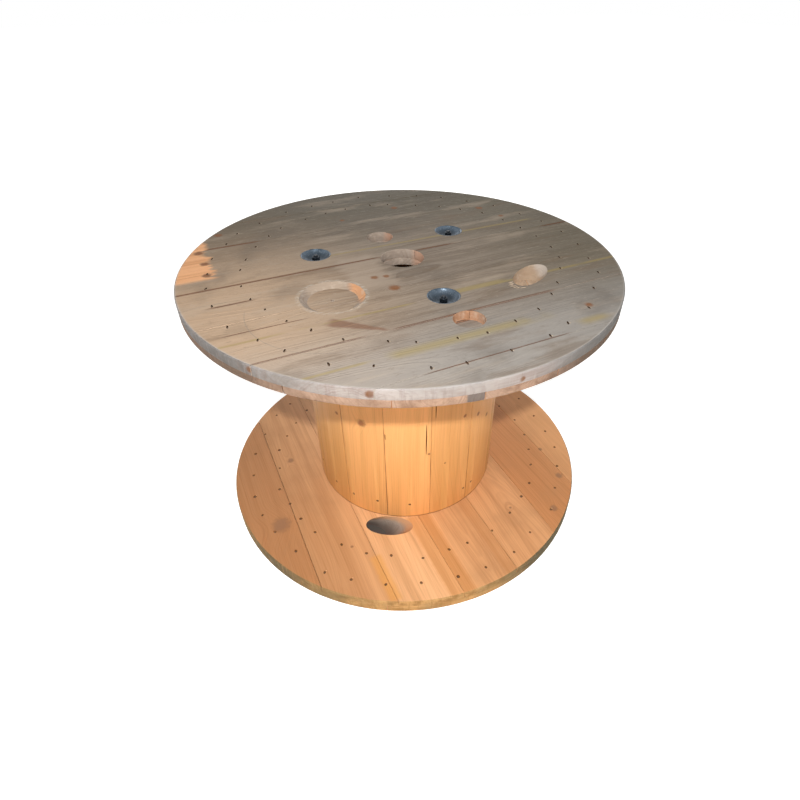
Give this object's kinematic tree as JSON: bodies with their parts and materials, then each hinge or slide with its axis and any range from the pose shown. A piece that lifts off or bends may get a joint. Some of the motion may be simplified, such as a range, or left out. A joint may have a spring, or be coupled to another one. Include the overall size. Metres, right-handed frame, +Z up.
{
  "type": "wooden cable drum",
  "caption": "Wooden cable drum: a staved pine barrel between round double-layer board flanges, with a hub hole, drive holes, slanted cable holes and tie rods with sunk cup washers.",
  "frame": {"origin": "centre of the lower flange's outer face, which stands on the floor", "axes": "+Z up along the drum's axis; +X along the boards of the flanges' outer layers; the cable hole of the upper flange is at +X -Y"},
  "size_m": [0.8, 0.8, 0.534],
  "materials": {
    "weathered_pine": "weathered grey softwood",
    "pine_upper_inner": "rough-sawn softwood, partly weathered",
    "pine_lower_inner": "planed softwood",
    "pine_lower_outer": "rough-sawn softwood, damp-stained rim",
    "stave_pine": "turned softwood, fresh",
    "core_pine": "rough-sawn softwood",
    "zinc_washer": "zinc-plated, dull",
    "zinc_nut": "zinc-plated, dull",
    "rod_steel": "bright drawn steel, dull"
  },
  "bodies": {
    "root": {"barrel_stave_1": "stave_pine", "barrel_stave_10": "stave_pine", "barrel_stave_11": "stave_pine", "barrel_stave_12": "stave_pine", "barrel_stave_13": "stave_pine", "barrel_stave_14": "stave_pine", "barrel_stave_2": "stave_pine", "barrel_stave_3": "stave_pine", "barrel_stave_4": "stave_pine", "barrel_stave_5": "stave_pine", "barrel_stave_6": "stave_pine", "barrel_stave_7": "stave_pine", "barrel_stave_8": "stave_pine", "barrel_stave_9": "stave_pine", "lower_core_ring": "core_pine", "lower_inner_board_1": "pine_lower_inner", "lower_inner_board_2": "pine_lower_inner", "lower_inner_board_3": "pine_lower_inner", "lower_inner_board_4": "pine_lower_inner", "lower_inner_board_5": "pine_lower_inner", "lower_inner_board_6": "pine_lower_inner", "lower_inner_board_7": "pine_lower_inner", "lower_nut_1": "zinc_nut", "lower_nut_2": "zinc_nut", "lower_nut_3": "zinc_nut", "lower_outer_board_1": "pine_lower_outer", "lower_outer_board_2": "pine_lower_outer", "lower_outer_board_3": "pine_lower_outer", "lower_outer_board_4": "pine_lower_outer", "lower_outer_board_5": "pine_lower_outer", "lower_outer_board_6": "pine_lower_outer", "lower_outer_board_7": "pine_lower_outer", "lower_washer_1": "zinc_washer", "lower_washer_2": "zinc_washer", "lower_washer_3": "zinc_washer", "tie_rod_1": "rod_steel", "tie_rod_2": "rod_steel", "tie_rod_3": "rod_steel", "upper_core_ring": "core_pine", "upper_inner_board_1": "pine_upper_inner", "upper_inner_board_2": "pine_upper_inner", "upper_inner_board_3": "pine_upper_inner", "upper_inner_board_4": "pine_upper_inner", "upper_inner_board_5": "pine_upper_inner", "upper_inner_board_6": "pine_upper_inner", "upper_inner_board_7": "pine_upper_inner", "upper_nut_1": "zinc_nut", "upper_nut_2": "zinc_nut", "upper_nut_3": "zinc_nut", "upper_outer_board_1": "weathered_pine", "upper_outer_board_2": "weathered_pine", "upper_outer_board_3": "weathered_pine", "upper_outer_board_4": "weathered_pine", "upper_outer_board_5": "weathered_pine", "upper_outer_board_6": "weathered_pine", "upper_outer_board_7": "weathered_pine", "upper_washer_1": "zinc_washer", "upper_washer_2": "zinc_washer", "upper_washer_3": "zinc_washer"}
  },
  "joints": []
}
